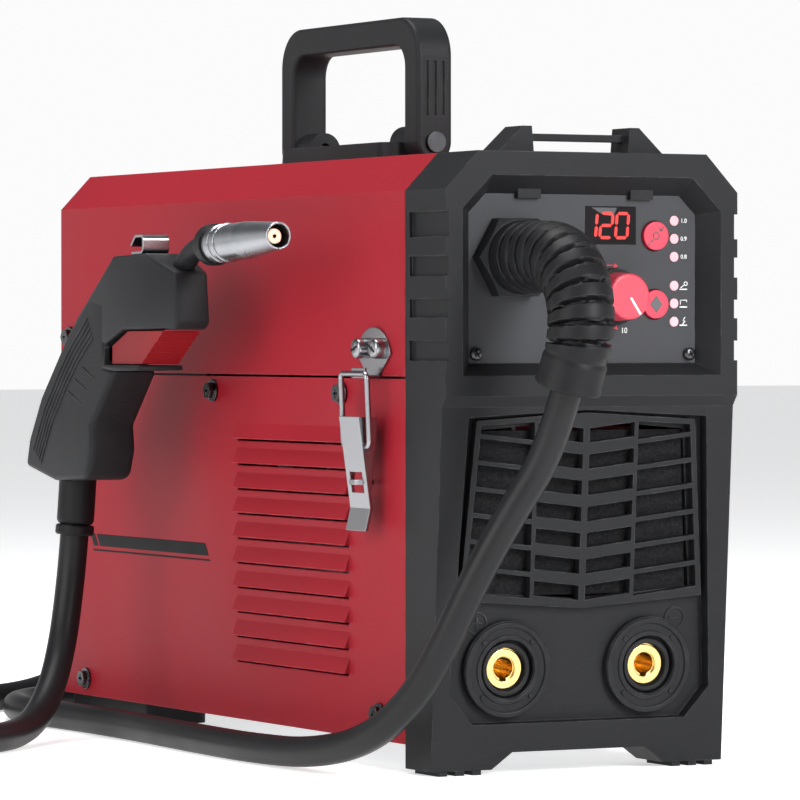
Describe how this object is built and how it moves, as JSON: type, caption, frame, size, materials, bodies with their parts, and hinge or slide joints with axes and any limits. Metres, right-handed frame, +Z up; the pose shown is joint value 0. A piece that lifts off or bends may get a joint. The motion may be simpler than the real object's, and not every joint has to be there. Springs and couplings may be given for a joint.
{
  "type": "mig welding machine",
  "caption": "Compact portable MIG welder with hinged cover, fold-down handle, draw latches, wire feeder, twin sockets and a pistol-grip torch on its cable.",
  "frame": {"origin": "middle of the machine's own footprint, on the surface it stands on", "axes": "+Z up, -Y out of the control panel, -X out of the louvred side that the torch stands beside"},
  "size_m": [0.4484, 0.6256, 0.324],
  "materials": {
    "black_moulding": "fine spark texture",
    "panel_black": "fine matt film",
    "red_paint": "fine texture powder coat",
    "red_plastic": "satin",
    "display_tint": "tinted gloss",
    "lamp_lens": "diffusing lens",
    "chrome": "bright plate",
    "dark_chrome": "black plate",
    "zinc_steel": "zinc plate",
    "brass": "turned",
    "copper": "turned copper",
    "aluminium": "extruded",
    "nozzle_steel": "satin turned",
    "rubber_black": "matt",
    "board_green": "solder mask",
    "ferrite": "matt ferrite",
    "spool_plastic": "moulded"
  },
  "bodies": {
    "machine": {"front_shell": "black_moulding", "control_panel": "panel_black", "display_window": "display_tint", "indicator_lenses": "lamp_lens", "front_grille": "black_moulding", "socket_bodies": "black_moulding", "socket_contacts": "brass", "outlet_gland": "zinc_steel", "outlet_nut": "black_moulding", "strain_relief_boot": "rubber_black", "left_side_panel": "red_paint", "right_side_panel": "red_paint", "base_tray": "zinc_steel", "rear_feet": "rubber_black", "rear_panel": "black_moulding", "hinge_leaves_fixed": "zinc_steel", "hinge_pins": "zinc_steel", "case_screws": "dark_chrome", "latch_bases": "chrome", "equipment_shelf": "zinc_steel", "feeder_plate": "zinc_steel", "feed_motor": "zinc_steel", "spool_spindle": "black_moulding", "circuit_board": "board_green", "heatsinks": "aluminium", "transformer": "ferrite", "fan_frame": "black_moulding", "switch_housing": "black_moulding", "mains_gland": "black_moulding", "torch_handle": "black_moulding", "torch_neck": "rubber_black", "torch_nozzle": "nozzle_steel", "contact_tip": "copper", "torch_hook": "chrome", "gun_cable_lead": "rubber_black", "gun_cable_return": "rubber_black", "gun_cable_coil": "rubber_black"},
    "cover": {"top_cover": "red_paint", "hinge_leaves_moving": "zinc_steel", "cover_screws": "dark_chrome", "latch_catches": "chrome", "handle_base": "black_moulding", "handle_pins": "dark_chrome"},
    "handle": {"carry_handle": "black_moulding"},
    "left_lever": {"left_latch_lever": "chrome"},
    "right_lever": {"right_latch_lever": "chrome"},
    "left_bail": {"left_latch_bail": "chrome"},
    "right_bail": {"right_latch_bail": "chrome"},
    "control_knob": {"knob_skirt": "black_moulding", "knob_cap": "red_plastic"},
    "wire_key": {"wire_button": "red_plastic"},
    "mode_key": {"mode_button": "red_plastic"},
    "trigger": {"torch_trigger": "red_plastic"},
    "rocker": {"power_rocker": "red_plastic"},
    "fan": {"fan_rotor": "black_moulding"},
    "spool": {"wire_spool": "spool_plastic"},
    "feed_roll": {"drive_roll": "zinc_steel"},
    "arm": {"pressure_arm": "black_moulding"},
    "pinch_roll": {"pressure_roll": "zinc_steel"},
    "tension": {"tension_knob": "black_moulding"}
  },
  "joints": [
    {"name": "cover_hinge", "type": "hinge", "parent": "machine", "child": "cover", "pos_m": [0, 0.1927, 0.1689], "axis": [-1, 0, 0], "range_deg": [0, 90]},
    {"name": "handle_fold", "type": "hinge", "parent": "cover", "child": "handle", "pos_m": [0, 0.01365, 0.2682], "axis": [0, 1, 0], "range_deg": [-90, 90]},
    {"name": "left_latch", "type": "hinge", "parent": "machine", "child": "left_lever", "pos_m": [-0.076, -0.133, 0.145], "axis": [0, 1, 0], "range_deg": [0, 85]},
    {"name": "left_bail_swing", "type": "hinge", "parent": "left_lever", "child": "left_bail", "pos_m": [-0.079, -0.133, 0.136], "axis": [0, 1, 0], "range_deg": [-85, 0]},
    {"name": "right_latch", "type": "hinge", "parent": "machine", "child": "right_lever", "pos_m": [0.076, -0.133, 0.145], "axis": [0, -1, 0], "range_deg": [0, 85]},
    {"name": "right_bail_swing", "type": "hinge", "parent": "right_lever", "child": "right_bail", "pos_m": [0.079, -0.133, 0.136], "axis": [0, -1, 0], "range_deg": [-85, 0]},
    {"name": "knob_turn", "type": "hinge", "parent": "machine", "child": "control_knob", "pos_m": [0.0129, -0.19, 0.1989], "axis": [0, 1, 0], "range_deg": [-290, 5]},
    {"name": "wire_press", "type": "slide", "parent": "machine", "child": "wire_key", "axis": [0, 1, 0], "range_m": [0, 0.0012], "stiffness_N_per_m": 400},
    {"name": "mode_press", "type": "slide", "parent": "machine", "child": "mode_key", "axis": [0, 1, 0], "range_m": [0, 0.0012], "stiffness_N_per_m": 400},
    {"name": "trigger_pull", "type": "slide", "parent": "machine", "child": "trigger", "axis": [0, 1, 0], "range_m": [0, 0.003], "stiffness_N_per_m": 800},
    {"name": "power_switch", "type": "hinge", "parent": "machine", "child": "rocker", "pos_m": [0.038, 0.1854, 0.205], "axis": [-1, 0, 0], "range_deg": [0, 20]},
    {"name": "fan_spin", "type": "hinge", "parent": "machine", "child": "fan", "pos_m": [-0.005, 0.172, 0.066], "axis": [0, 1, 0], "continuous": true},
    {"name": "spool_turn", "type": "hinge", "parent": "machine", "child": "spool", "pos_m": [-0.04, 0.09, 0.196], "axis": [1, 0, 0], "continuous": true},
    {"name": "drive_turn", "type": "hinge", "parent": "machine", "child": "feed_roll", "pos_m": [-0.034, -0.07, 0.2026], "axis": [1, 0, 0], "continuous": true},
    {"name": "arm_lift", "type": "hinge", "parent": "machine", "child": "arm", "pos_m": [-0.026, -0.046, 0.23], "axis": [-1, 0, 0], "range_deg": [0, 12]},
    {"name": "pinch_turn", "type": "hinge", "parent": "arm", "child": "pinch_roll", "pos_m": [-0.034, -0.07, 0.2244], "axis": [1, 0, 0], "continuous": true},
    {"name": "tension_turn", "type": "hinge", "parent": "arm", "child": "tension", "pos_m": [-0.026, -0.09, 0.236], "axis": [0, 0, 1], "range_deg": [-180, 180]}
  ],
  "couplings": [
    {"joint": "left_bail_swing", "follows": "left_latch", "ratio": -1},
    {"joint": "right_bail_swing", "follows": "right_latch", "ratio": -1}
  ]
}
